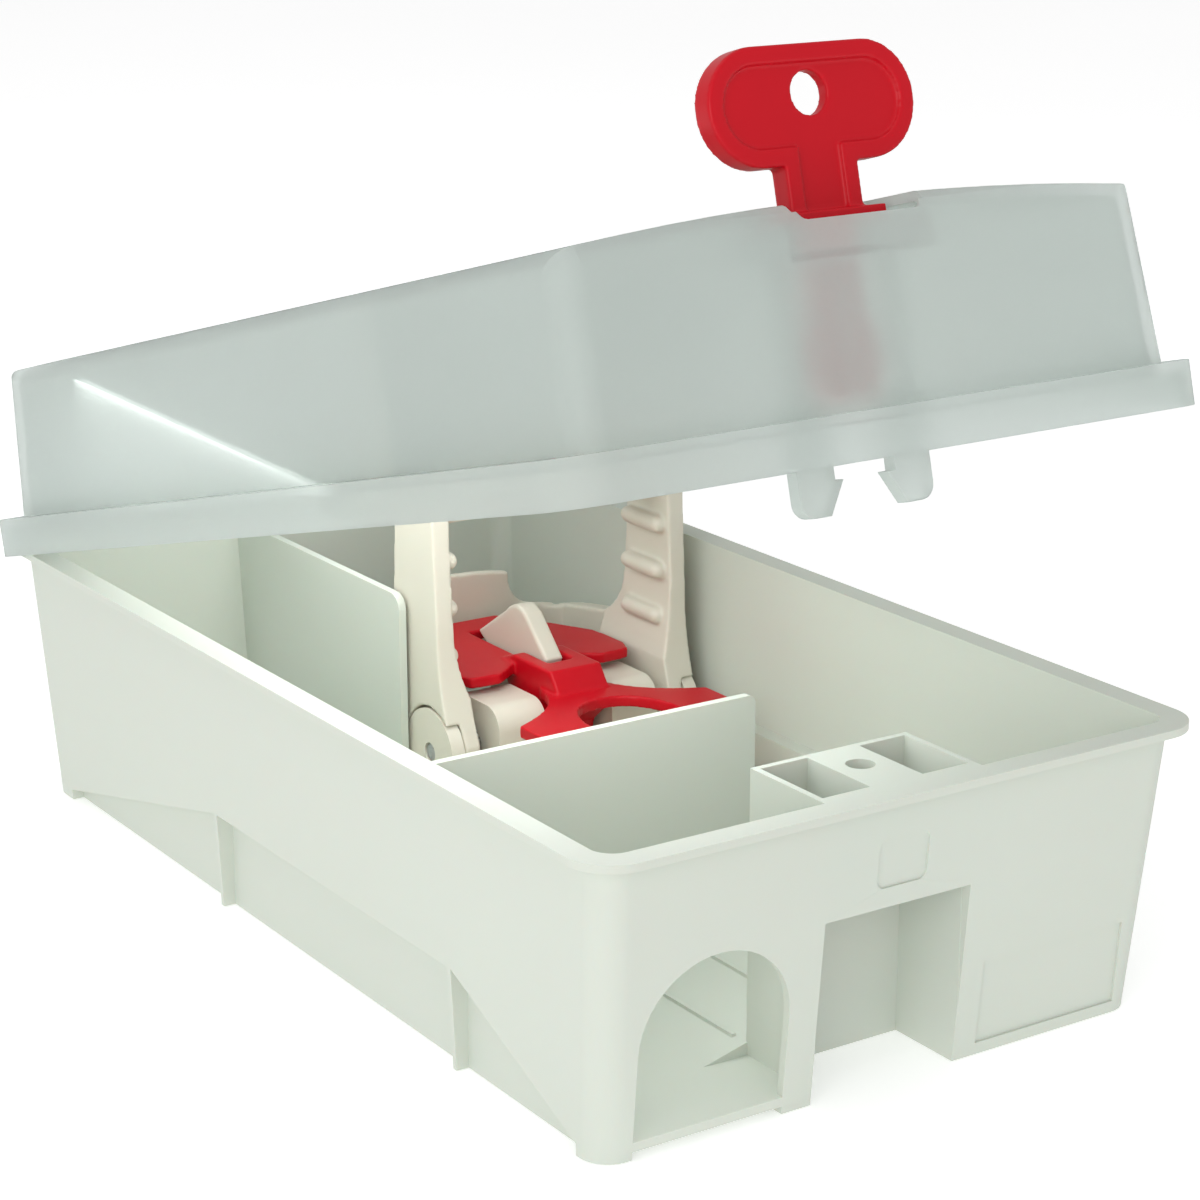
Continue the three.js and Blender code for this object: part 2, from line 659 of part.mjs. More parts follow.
function stadium(half, low, high) {
  const radius = (high - low) / 2;
  return roundedRect(half, radius, radius - 0.01, (low + high) / 2);
}

function key() {
  const y = [keyY - KEY_T / 2, keyY + KEY_T / 2];
  const bow = prismY(stadium(BOW_HALF, BOW_Z[0], BOW_Z[1]), y, 12);
  const neck = block([-SHAFT_HALF, SHAFT_HALF], y, [FLANGE_Z[0], BOW_Z[0] + 3]);
  const flangeY = [keyY - FLANGE_T / 2, keyY + FLANGE_T / 2];
  const flange = block([-FLANGE_HALF, FLANGE_HALF], flangeY, FLANGE_Z);
  const blade = block([-BLADE_HALF, BLADE_HALF], y, [TIP_Z, FLANGE_Z[0] + 1]);
  const spread = prismY(outline([
    [-BLADE_HALF, SPREAD_Z[1] + 2], [-SPREAD_HALF, SPREAD_Z[1]], [-SPREAD_HALF, SPREAD_Z[0]],
    [-BLADE_HALF + 1, TIP_Z], [BLADE_HALF - 1, TIP_Z],
    [SPREAD_HALF, SPREAD_Z[0]], [SPREAD_HALF, SPREAD_Z[1]], [BLADE_HALF, SPREAD_Z[1] + 2],
  ]), y);
  const sunkWeb = stadium(BOW_HALF - BEAD_W, BOW_Z[0] + BEAD_W, BOW_Z[1] - BEAD_W);
  const sunkNeck = [-SHAFT_HALF + BEAD_W, SHAFT_HALF - BEAD_W];
  const sinks = [[y[0] - 1, y[0] + WEB_SINK], [y[1] - WEB_SINK, y[1] + 1]].map((range) => union(
    prismY(sunkWeb, range, 12),
    block(sunkNeck, range, [FLANGE_Z[1], BOW_Z[0] + 2 * BEAD_W]),
  ));
  const hole = rodY(0, BOW_HOLE_Z, BOW_HOLE_R, [y[0] - 1, y[1] + 1], 28);
  const split = block([-SPLIT_W / 2, SPLIT_W / 2], [y[0] - 1, y[1] + 1], [TIP_Z - 1, SPREAD_Z[1] + 8]);
  return cut(union(bow, neck, flange, blade, spread), ...sinks, hole, split);
}

// ---------------------------------------------------------------- trap

// A housing that stands on the base round the axle, with a rounded top.
function barrel(side) {
  const top = AXLE_Z + DRUM_R;
  const shape = new THREE.Shape();
  shape.moveTo(AXLE_Y - DRUM_R, baseTop - EPS);
  shape.lineTo(AXLE_Y + DRUM_R, baseTop - EPS);
  shape.absarc(AXLE_Y + DRUM_R - BARREL_CORNER, top - BARREL_CORNER, BARREL_CORNER, 0, Math.PI / 2);
  shape.absarc(
    AXLE_Y - DRUM_R + BARREL_CORNER, top - BARREL_CORNER, BARREL_CORNER, Math.PI / 2, Math.PI,
  );
  return prismX(shape, span(side, BARREL_IN, barrelOut));
}

function baseEar(side) {
  const x = span(side, earIn, TRAP_HALF);
  const footHalf = DRUM_R - EAR_FOOT_IN;
  const post = block(x, [AXLE_Y - footHalf, AXLE_Y + footHalf], [baseTop - EPS, AXLE_Z]);
  return post.add(rodX(AXLE_Y, AXLE_Z, DRUM_R, x, 28));
}

// The row of blunt teeth along one side of the lower jaw.
function lowerTeeth(side) {
  const rise = 2.2;
  const row = Array.from({ length: LOWER_TEETH }, (_, i) => {
    const tooth = new THREE.CylinderGeometry(0.5, EAR_T / 2 - 0.1, rise, 10);
    const y = BASE_Y[0] + 5 + i * LOWER_PITCH;
    return solid(tooth.rotateX(Math.PI / 2).translate(side * (earIn + EAR_T / 2), y, LOWER_TOP + 1));
  });
  return union(...row);
}

function trapBase() {
  const half = TRAP_HALF;
  const plate = block([-half, half], BASE_Y, [baseFoot, baseTop]);
  const wallZ = [baseTop - EPS, LOWER_TOP];
  const jawSides = both((side) => block(
    span(side, earIn, half), [BASE_Y[0], AXLE_Y - DRUM_R - 4], wallZ,
  ));
  const jawNose = block([-half, half], [BASE_Y[0], BASE_Y[0] + EAR_T], wallZ);
  const bore = rodX(AXLE_Y, AXLE_Z, AXLE_R + RUN, [-half - 1, half + 1], 20);
  const stands = union(both(baseEar), both(barrel));
  return cut(union(plate, stands, jawSides, jawNose, both(lowerTeeth)), bore);
}

function jawAxle() {
  return rodX(AXLE_Y, AXLE_Z, AXLE_R, [-TRAP_HALF + RUN, TRAP_HALF - RUN], 18);
}

// The side profile of the jaw in (y, z): an upright arm and a lever running back from its foot.
function jawProfile() {
  const [front, back] = ARM_Y;
  const shape = new THREE.Shape();
  shape.moveTo(front + ARM_TAPER, JAW_TOP);
  shape.lineTo(front, ARM_ROOT_Z);
  shape.quadraticCurveTo(front, AXLE_Z + 12, AXLE_Y - RING_R, AXLE_Z + 2);
  shape.lineTo(AXLE_Y + 2, AXLE_Z - 2);
  shape.lineTo(back + 1, HOOP_FOOT - 1);
  shape.lineTo(HOOP_BACK, HOOP_FOOT + 1);
  shape.lineTo(HOOP_BACK, HOOP_RIM_BACK);
  shape.lineTo(back + 10, HOOP_RIM - 2);
  shape.quadraticCurveTo(back, HOOP_RIM - 1, back, ARM_ROOT_Z);
  shape.lineTo(back - ARM_TAPER, JAW_TOP);
  return shape;
}

// The right arm with its lever, and the flare that carries it inwards to its ring on the axle.
function jawSide() {
  const profile = jawProfile();
  const flare = new THREE.Shape();
  flare.moveTo(ringIn, AXLE_Z - RING_R);
  flare.lineTo(TRAP_HALF, AXLE_Z - RING_R);
  flare.lineTo(TRAP_HALF, ARM_ROOT_Z);
  flare.lineTo(armIn, ARM_ROOT_Z);
  flare.quadraticCurveTo(armIn - 0.3, HOOP_RIM + 1, ringIn, HOOP_RIM - 5);
  const inward = prismX(profile, [ringIn, TRAP_HALF], 8)
    .intersect(prismY(flare, [AXLE_Y - RING_R - 1, ARM_Y[1] + 5], 6));
  const clear = rodX(AXLE_Y, AXLE_Z, DRUM_R + GAP + 0.2, [ringOut, TRAP_HALF + 1], 28);
  const outward = prismX(profile, [armIn, TRAP_HALF], 8);
  const ring = rodX(AXLE_Y, AXLE_Z, RING_R, [ringIn, ringOut], 28);
  return union(outward, inward).subtract(clear).add(ring);
}

function jawTeeth(side) {
  const x = side * (TRAP_HALF - TOOTH_IN);
  const rods = Array.from({ length: TEETH }, (_, i) => {
    const z = TOOTH_Z0 + i * TOOTH_PITCH;
    const rod = new THREE.CapsuleGeometry(TOOTH_R, TOOTH_L - 2 * TOOTH_R, 3, 12);
    return solid(rod.translate(x, (ARM_Y[0] + ARM_Y[1]) / 2, z));
  });
  return union(...rods);
}

// The hoop's back wall with the press tab, and the round corners that carry it to the levers.
function jawHoop() {
  const foot = HOOP_FOOT + 1;
  const wall = new THREE.Shape();
  wall.moveTo(-TRAP_HALF, foot);
  wall.lineTo(TRAP_HALF, foot);
  wall.lineTo(TRAP_HALF, HOOP_RIM_BACK);
  wall.lineTo(TAB_HALF + 6, HOOP_RIM_BACK + 1);
  wall.quadraticCurveTo(TAB_HALF, HOOP_RIM_BACK + 2, TAB_HALF, TAB_TOP - 1.5);
  wall.quadraticCurveTo(0, TAB_TOP + 1, -TAB_HALF, TAB_TOP - 1.5);
  wall.quadraticCurveTo(-TAB_HALF, HOOP_RIM_BACK + 2, -TAB_HALF - 6, HOOP_RIM_BACK + 1);
  wall.lineTo(-TRAP_HALF, HOOP_RIM_BACK);
  const back = prismY(wall, [HOOP_BACK - HOOP_T, HOOP_BACK], 6);
  const cornerY = [HOOP_BACK - HOOP_R, HOOP_BACK];
  const corners = both((side) => block(
    span(side, TRAP_HALF - HOOP_R, TRAP_HALF), cornerY, [foot, HOOP_RIM_BACK],
  ));
  return union(back, corners.subtract(hoopPlan(HOOP_T)));
}

// The jaw's plan, drawn in by an inset: straight sides that turn in at the back.
function hoopPlan(inset) {
  const reach = JAW_TOP;
  const shape = roundedRect(TRAP_HALF - inset, reach - inset, HOOP_R - inset, HOOP_BACK - reach);
  return prismZ(shape, [0, JAW_TOP + 1], 6);
}

function jaw() {
  const endY = [ARM_Y[0] + 3, ARM_Y[1] - 3];
  const closedEnd = block([-TRAP_HALF, TRAP_HALF], endY, [WINDOW_TOP, JAW_TOP]);
  const bore = rodX(AXLE_Y, AXLE_Z, AXLE_R + RUN, [-TRAP_HALF - 1, TRAP_HALF + 1], 20);
  const right = jawSide();
  const left = right.mirror([1, 0, 0]);
  const whole = union(right, left, both(jawTeeth), closedEnd, jawHoop());
  return cut(whole.intersect(hoopPlan(0)), bore);
}

// The rocking trigger: a rear pedal, a raised block and two front pads on one stem.
function trigger() {
  const half = [
    [BLOCK_HALF, 33], [11.5, 29], [17.5, 29.5], [19, 33.5], [18.6, 43], [14.5, 51], [7.5, 62.2],
  ];
  const mirrored = half.map(([x, y]) => [-x, y]).reverse();
  const pedal = prismZ(outline([...half, ...mirrored]), [PEDAL_Z - PEDAL_T, PEDAL_Z]);
  const toeIn = 9.5;
  const legs = new THREE.Shape();
  legs.moveTo(-BLOCK_HALF, 24);
  legs.quadraticCurveTo(-BLOCK_HALF - 1, 14, -PAD_REACH, 8);
  legs.lineTo(-PAD_REACH, PAD_FRONT_Y + 3);
  legs.lineTo(-PAD_REACH + 3, PAD_FRONT_Y);
  legs.lineTo(-toeIn, PAD_FRONT_Y);
  legs.lineTo(-toeIn, 3);
  legs.bezierCurveTo(-8, 11, -4, 13, 0, 13);
  legs.bezierCurveTo(4, 13, 8, 11, toeIn, 3);
  legs.lineTo(toeIn, PAD_FRONT_Y);
  legs.lineTo(PAD_REACH - 3, PAD_FRONT_Y);
  legs.lineTo(PAD_REACH, PAD_FRONT_Y + 3);
  legs.lineTo(PAD_REACH, 8);
  legs.quadraticCurveTo(BLOCK_HALF + 1, 14, BLOCK_HALF, 24);
  const pads = prismZ(legs, [PAD_Z - PEDAL_T, PAD_Z], 8);
  const body = prismX(outline([
    [16.5, PAD_Z - PEDAL_T], [21, BLOCK_TOP], [34, BLOCK_TOP], [38, PEDAL_Z], [38, PEDAL_Z - PEDAL_T],
    [AXLE_Y + 3, AXLE_Z], [AXLE_Y - 3, AXLE_Z],
  ]), [-BLOCK_HALF + GAP, BLOCK_HALF - GAP]);
  const stem = rodX(AXLE_Y, AXLE_Z, STEM_R, [-STEM_HALF, STEM_HALF], 24);
  const slotX = POST_T / 2 + POST_CLEAR;
  const slot = block([-slotX, slotX], [AXLE_Y - 2, 55], [AXLE_Z + STEM_R + 2, BLOCK_TOP + 1]);
  const bore = rodX(AXLE_Y, AXLE_Z, AXLE_R + RUN, [-STEM_HALF - 1, STEM_HALF + 1], 20);
  return cut(union(pedal, pads, body, stem), slot, bore);
}

// The bait cup on the base with the bait post that stands up through the trigger's slot.
function baitCup() {
  const foot = baseTop + GAP;
  const cup = rodZ(0, CUP_Y, CUP_R, [foot, foot + CUP_H], 32);
  const inside = rodZ(0, CUP_Y, CUP_R - CUP_WALL, [foot + CUP_WALL, foot + CUP_H + 1], 32);
  const post = new THREE.Shape();
  post.moveTo(CUP_Y - 3, foot + CUP_WALL / 2);
  post.lineTo(CUP_Y + 3, foot + CUP_WALL / 2);
  post.lineTo(50, PEDAL_Z - 1);
  post.lineTo(53, PEDAL_Z + 0.8);
  post.lineTo(43, POST_TOP - 2.2);
  post.quadraticCurveTo(38.5, POST_TOP + 2.2, 34.5, POST_TOP - 2.2);
  post.lineTo(28.2, PEDAL_Z + 1.2);
  post.lineTo(30, AXLE_Z + STEM_R + 4);
  post.lineTo(CUP_Y - 5, AXLE_Z + STEM_R + 2);
  return union(cut(cup, inside), prismX(post, [-POST_T / 2, POST_T / 2], 6));
}

// A torsion spring: a short coil round the axle with one leg up the jaw and one down the base.
class SpringPath extends THREE.Curve {
  constructor(side) {
    super();
    this.side = side;
  }

  getPoint(t, target = new THREE.Vector3()) {
    const turn = t * COIL_TURNS * 2 * Math.PI;
    const near = barrelOut + GAP + WIRE_R;
    const far = ringIn - GAP - WIRE_R;
    const x = this.side * (near + (far - near) * t);
    return target.set(x, AXLE_Y + COIL_R * Math.cos(turn), AXLE_Z + COIL_R * Math.sin(turn));
  }
}

function spring(side) {
  const section = new THREE.Shape();
  section.absarc(0, 0, WIRE_R, 0, 2 * Math.PI);
  const coil = new THREE.ExtrudeGeometry(section, {
    steps: 40, curveSegments: 4, bevelEnabled: false, extrudePath: new SpringPath(side),
  });
  return solid(coil);
}

// ---------------------------------------------------------------- the station

const station = new THREE.Group();
station.add(mesh("tray", tray(), trayPlastic));
station.add(mesh("hinge_pin_left", hingePin(-1), steel));
station.add(mesh("hinge_pin_right", hingePin(1), steel));

const trap = new THREE.Group();
trap.position.x = TRAP_X;
trap.add(mesh("trap_base", trapBase(), trapPlastic));
trap.add(mesh("jaw_axle", jawAxle(), steel));
trap.add(mesh("jaw", jaw(), trapPlastic));
trap.add(mesh("trigger", trigger(), redPlastic));
trap.add(mesh("bait_cup", baitCup(), trapPlastic));
trap.add(mesh("spring_left", spring(-1), steel));
trap.add(mesh("spring_right", spring(1), steel));
station.add(trap);

// The lid's pieces turn together about the hinge.
const lidPivot = new THREE.Group();
lidPivot.position.set(0, hingeY, HINGE_Z);
lidPivot.rotation.x = THREE.MathUtils.degToRad(-LID_OPEN);
const lid = new THREE.Group();
lid.position.set(0, -hingeY, -HINGE_Z);
lid.add(mesh("lid_shell", lidShell(), lidPlastic));
lid.add(mesh("hook_left", hook(-1), lidPlastic));
lid.add(mesh("hook_right", hook(1), lidPlastic));
lid.add(mesh("key", key(), redPlastic));
lidPivot.add(lid);
station.add(lidPivot);

export default station;
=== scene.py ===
"""A lockable mouse-trap station: moulded tray, frosted lid on two hinges, red key and jaw trap."""
import json
import math

import bmesh
import bpy
from bpy.props import FloatProperty, FloatVectorProperty, IntProperty, PointerProperty
from mathutils import Matrix, Vector


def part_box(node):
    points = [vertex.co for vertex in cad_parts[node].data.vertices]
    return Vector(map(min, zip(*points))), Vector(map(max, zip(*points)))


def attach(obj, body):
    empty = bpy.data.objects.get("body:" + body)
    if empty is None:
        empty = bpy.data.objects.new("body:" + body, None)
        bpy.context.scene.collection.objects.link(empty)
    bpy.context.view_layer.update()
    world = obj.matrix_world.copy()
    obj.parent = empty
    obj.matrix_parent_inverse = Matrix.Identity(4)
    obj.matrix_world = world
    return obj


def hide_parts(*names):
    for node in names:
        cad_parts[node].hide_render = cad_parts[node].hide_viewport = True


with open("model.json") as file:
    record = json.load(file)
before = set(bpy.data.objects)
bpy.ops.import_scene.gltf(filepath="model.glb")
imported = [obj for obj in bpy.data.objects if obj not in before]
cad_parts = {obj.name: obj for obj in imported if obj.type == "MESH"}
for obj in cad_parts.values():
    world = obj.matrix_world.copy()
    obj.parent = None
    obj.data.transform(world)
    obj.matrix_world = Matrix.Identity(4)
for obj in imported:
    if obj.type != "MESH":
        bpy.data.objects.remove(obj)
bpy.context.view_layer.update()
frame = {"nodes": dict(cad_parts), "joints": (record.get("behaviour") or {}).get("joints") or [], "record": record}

bl_info = {
    "name": "Mouse Trap Station",
    "version": (1, 0, 0),
    "blender": (4, 5, 0),
    "location": "3D View > Sidebar > Station",
    "description": "Builds the visual pieces of a lockable mouse-trap station",
    "category": "Add Mesh",
}

MM = 0.001

WELD = 2e-6             # vertices closer than this are one
FLAT_ANGLE = 0.6        # degrees between faces that count as one flat
EDGE_ANGLE = 32.0       # edges sharper than this are rounded
SMOOTH_ANGLE = 38.0     # rounded pieces are shaded smooth up to this
SKIN_ANGLE = 80.0       # and softened skins up to this
COARSE = 1.25           # grid of the trap's skins, in soft steps
KEY_EXTRA_PASSES = 3    # the key's border is worn more than the trap's edges
FINE_EDGE = 1.6         # edges of the trap's base, in fine edge radii
SPRING_LEG = 5 * MM
FLOOR_DROP = 0.2 * MM   # the floor lies this far under the tray

JOINTS = {joint["name"]: joint for joint in frame["joints"]}
AXLE = Vector(JOINTS["jaw_hinge"]["pos_m"])
LID_HINGE = Vector(JOINTS["lid_hinge"]["pos_m"])
LID_AJAR = -math.radians(JOINTS["lid_hinge"]["range_deg"][0])


def lid_place():
    """The matrix that takes the shut lid's pieces to where they stand ajar."""
    turn = Matrix.Rotation(-LID_AJAR, 4, "X")
    return Matrix.Translation(LID_HINGE) @ turn @ Matrix.Translation(-LID_HINGE)


# ---------------------------------------------------------------- shader expressions

class Wire:
    """One output socket; arithmetic on it adds Math nodes."""

    def __init__(self, look, socket):
        self.look = look
        self.socket = socket

    def _math(self, operation, *values):
        return self.look.node("ShaderNodeMath", {"operation": operation}, dict(enumerate(values)))

    def __add__(self, other):
        return self._math("ADD", self, other)

    __radd__ = __add__

    def __mul__(self, other):
        return self._math("MULTIPLY", self, other)

    def __sub__(self, other):
        return self._math("SUBTRACT", self, other)


class Look:
    """A node material built from expressions, around one Principled shader."""

    def __init__(self, name):
        self.material = bpy.data.materials.new(name)
        self.material.use_nodes = True
        self.tree = self.material.node_tree
        self.tree.nodes.clear()
        self.shader = self.tree.nodes.new("ShaderNodeBsdfPrincipled")
        self.output = self.tree.nodes.new("ShaderNodeOutputMaterial")
        self.tree.links.new(self.shader.outputs["BSDF"], self.output.inputs["Surface"])
        self.place = self.node("ShaderNodeTexCoord", output="Object")

    def node(self, kind, settings=None, inputs=None, output=0):
        made = self.tree.nodes.new(kind)
        for name, value in (settings or {}).items():
            setattr(made, name, value)
        for name, value in (inputs or {}).items():
            self.plug(made.inputs[name], value)
        return Wire(self, made.outputs[output])

    def plug(self, socket, value):
        if isinstance(value, Wire):
            self.tree.links.new(value.socket, socket)
        else:
            socket.default_value = value

    def stretched(self, scale):
        """Object coordinates scaled differently along each axis."""
        inputs = {"Vector": self.place, "Scale": scale}
        return self.node("ShaderNodeMapping", {"vector_type": "POINT"}, inputs)

    def noise(self, scale, detail=3.0, roughness=0.5, place=None):
        inputs = {"Scale": scale, "Detail": detail, "Roughness": roughness}
        inputs["Vector"] = place or self.place
        return self.node("ShaderNodeTexNoise", None, inputs, "Fac")

    def spread(self, value, low, high):
        """A 0 to 1 value that runs from low to high of the input."""
        inputs = {"Value": value, "From Min": low, "From Max": high}
        return self.node("ShaderNodeMapRange", {"clamp": True}, inputs)

    def mix(self, factor, first, second):
        inputs = {0: factor, 6: first, 7: second}
        return self.node("ShaderNodeMix", {"data_type": "RGBA"}, inputs, 2)

    def bump(self, height, distance, strength=1.0, under=None):
        inputs = {"Height": height, "Distance": distance, "Strength": strength}
        if under is not None:
            inputs["Normal"] = under
        return self.node("ShaderNodeBump", None, inputs)

    def pointed(self):
        """How sharp the surface is at a point, from 0 on a flat to 1 on an outer edge."""
        return self.spread(self.node("ShaderNodeNewGeometry", output="Pointiness"), 0.5, 0.56)

    def surface(self, **inputs):
        for name, value in inputs.items():
            self.plug(self.shader.inputs[name.replace("_", " ")], value)


def rgba(colour):
    return (*tuple(colour)[:3], 1.0)


def shade(colour, factor):
    return tuple(channel * factor for channel in tuple(colour)[:3]) + (1.0,)


def tray_look(settings):
    """Matt injection-moulded plastic with a spark-eroded grain and faint flow marks."""
    look = Look("tray plastic")
    base = settings.tray_colour
    cloud = look.noise(14.0, 3.0, 0.55)
    flow = look.noise(6.0, 4.0, 0.6, look.stretched((1.0, 0.25, 2.2)))
    tint = look.mix(look.spread(cloud, 0.3, 0.7), shade(base, 0.975), rgba(base))
    streaks = look.mix(look.spread(flow, 0.52, 0.72) * 0.3, tint, shade(base, 1.03))
    grain = look.noise(5200.0, 2.0, 0.6)
    ripple = look.noise(140.0, 2.0, 0.5)
    rough = 0.5 + look.spread(cloud, 0.2, 0.8) * 0.12 - look.pointed() * 0.08
    soft = look.bump(ripple, 0.00005, 0.5)
    look.surface(Base_Color=streaks, Roughness=rough, Normal=look.bump(grain, 0.00003, 0.35, soft))
    look.surface(IOR=1.47, Subsurface_Weight=0.08, Subsurface_Scale=0.004)
    return look.material


def trap_look(settings):
    """Warm off-white satin plastic with patchy gloss and a painted highlight that lightens its outer edges."""
    look = Look("trap plastic")
    base = settings.trap_colour
    cloud = look.noise(30.0, 3.0, 0.55)
    tint = look.mix(look.spread(cloud, 0.3, 0.7), shade(base, 0.95), rgba(base))
    # painted highlight: the colour is lightened on sharp outer edges, standing in for sheen there
    edge = look.mix(look.pointed() * 0.3, tint, shade(base, 1.08))
    grain = look.noise(3800.0, 2.0, 0.6)
    wave = look.noise(220.0, 2.0, 0.5)
    rough = 0.36 + look.spread(cloud, 0.2, 0.8) * 0.14
    soft = look.bump(wave, 0.00006, 0.5)
    look.surface(Base_Color=edge, Roughness=rough, Normal=look.bump(grain, 0.00002, 0.3, soft))
    look.surface(IOR=1.49, Subsurface_Weight=0.06, Subsurface_Scale=0.003)
    return look.material


def red_look(settings):
    """Glossy red plastic with a slight orange peel and a painted highlight that lightens its outer edges."""
    look = Look("red plastic")
    base = settings.red_colour
    cloud = look.noise(45.0, 3.0, 0.5)
    tint = look.mix(look.spread(cloud, 0.3, 0.75), shade(base, 0.93), rgba(base))
    # painted highlight: the colour is lightened on sharp outer edges, standing in for glints of light there
    edge = look.mix(look.pointed() * 0.15, tint, shade(base, 1.15))
    smear = look.noise(70.0, 2.0, 0.5, look.stretched((1.0, 1.0, 0.4)))
    rough = 0.34 + look.spread(smear, 0.3, 0.8) * 0.06
    peel = look.noise(700.0, 1.0, 0.4)
    look.surface(Base_Color=edge, Roughness=rough, Normal=look.bump(peel, 0.00001, 0.15))
    look.surface(IOR=1.45, Specular_IOR_Level=0.25, Coat_Roughness=0.2)
    look.surface(Coat_Weight=0.02 + look.spread(cloud, 0.2, 0.8) * 0.03)
    return look.material


def steel_look(settings):
    """Drawn spring steel with fine lines along the wire."""
    look = Look("steel")
    base = settings.steel_colour
    lines = look.noise(900.0, 3.0, 0.6, look.stretched((0.2, 1.0, 1.0)))
    spots = look.noise(260.0, 3.0, 0.5)
    tint = look.mix(look.spread(spots, 0.45, 0.75), rgba(base), shade(base, 0.72))
    rough = 0.22 + look.spread(lines, 0.3, 0.8) * 0.2
    look.surface(Base_Color=tint, Roughness=rough, Metallic=1.0, Normal=look.bump(lines, 0.00002, 0.3))
    return look.material


def lid_look(settings):
    """Frosted translucent plastic: light passes, shapes behind it blur."""
    look = Look("lid plastic")
    base = settings.lid_colour
    cloud = look.noise(11.0, 3.0, 0.5)
    flow = look.noise(5.0, 4.0, 0.6, look.stretched((1.0, 0.35, 1.4)))
    tint = look.mix(look.spread(cloud, 0.3, 0.7), shade(base, 0.975), rgba(base))
    streaks = look.mix(look.spread(flow, 0.5, 0.75) * 0.3, tint, shade(base, 1.04))
    frost = look.noise(2600.0, 3.0, 0.65)
    wave = look.noise(60.0, 2.0, 0.5)
    rough = settings.lid_frost + look.spread(cloud, 0.2, 0.8) * 0.06
    soft = look.bump(wave, 0.00008, 0.4)
    look.surface(Base_Color=streaks, Roughness=rough, Normal=look.bump(frost, 0.00002, 0.3, soft))
    look.surface(IOR=1.12, Transmission_Weight=settings.lid_clarity, Specular_IOR_Level=0.5)
    look.surface(Coat_Weight=0.12 + look.spread(cloud, 0.3, 0.7) * 0.08, Coat_Roughness=0.35)
    return look.material


LOOKS = {
    "tray_plastic": tray_look,
    "trap_plastic": trap_look,
    "red_plastic": red_look,
    "steel": steel_look,
    "lid_plastic": lid_look,
}
SLOT_OF = {row["node"]: row["material_slot"] for row in frame["record"]["subparts"]}
BODIES = frame["record"]["behaviour"]["bodies"]
BODY_OF = {node: body for body, nodes in BODIES.items() for node in nodes}
made_looks = {}


def look_for(slot):
    if slot not in made_looks:
        made_looks[slot] = LOOKS[slot](bpy.context.scene.station_settings)
    return made_looks[slot]


# ---------------------------------------------------------------- mesh helpers

def merged_copy(node):
    """A merged copy of a CAD node's mesh, with its flats made of as few triangles as they need."""
    bm = bmesh.new()
    bm.from_mesh(frame["nodes"][node].data)
    bmesh.ops.remove_doubles(bm, verts=bm.verts, dist=WELD)
    bmesh.ops.dissolve_limit(
        bm, angle_limit=math.radians(FLAT_ANGLE), verts=bm.verts, edges=bm.edges, delimit={"NORMAL"},
    )
    many_sided = [face for face in bm.faces if len(face.verts) > 4]
    bmesh.ops.triangulate(bm, faces=many_sided, ngon_method="BEAUTY")
    return bm


def add_object(name, mesh, slot):
    piece = bpy.data.objects.new(name, mesh)
    bpy.context.scene.collection.objects.link(piece)
    mesh.materials.clear()
    mesh.materials.append(look_for(slot))
    return piece


def baked(piece):
    """Turns a piece's modifiers into plain mesh."""
    evaluated = piece.evaluated_get(bpy.context.evaluated_depsgraph_get())
    mesh = bpy.data.meshes.new_from_object(evaluated)
    piece.modifiers.clear()
    old = piece.data
    piece.data = mesh
    bpy.data.meshes.remove(old)
    return piece


def smooth(mesh, angle):
    for polygon in mesh.polygons:
        polygon.use_smooth = True
    mesh.set_sharp_from_angle(angle=angle)


def started(kind, node):
    """A new object of a kind, named after a CAD node and holding its merged mesh."""
    bm = merged_copy(node)
    mesh = bpy.data.meshes.new(node + "_" + kind)
    bm.to_mesh(mesh)
    bm.free()
    return add_object(kind + "_" + node, mesh, SLOT_OF[node])


def moulded(node, radius, segments=2):
    """The CAD node's shape with its edges rounded as a mould leaves them."""
    piece = started("moulded", node)
    bevel = piece.modifiers.new("edge", "BEVEL")
    bevel.width = radius
    bevel.segments = segments
    bevel.limit_method = "ANGLE"
    bevel.angle_limit = math.radians(EDGE_ANGLE)
    bevel.use_clamp_overlap = True
    bevel.miter_outer = "MITER_ARC"
    baked(piece)
    smooth(piece.data, math.radians(SMOOTH_ANGLE))
    weigh = piece.modifiers.new("flats", "WEIGHTED_NORMAL")
    weigh.keep_sharp = True
    baked(piece)
    return piece


def softened(node, voxel, passes):
    """The CAD node's shape as a fine even skin whose edges are worn soft."""
    piece = started("soft", node)
    skin = piece.modifiers.new("skin", "REMESH")
    skin.mode = "VOXEL"
    skin.voxel_size = voxel
    skin.use_smooth_shade = True
    relax = piece.modifiers.new("relax", "SMOOTH")
    relax.factor = 0.5
    relax.iterations = passes
    baked(piece)
    smooth(piece.data, math.radians(SKIN_ANGLE))
    return piece


def stands_for(piece, *nodes):
    """The piece rides with the nodes it stands for, and those nodes are hidden."""
    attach(piece, BODY_OF[nodes[0]])
    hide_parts(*nodes)
    return piece


# ---------------------------------------------------------------- geometry nodes

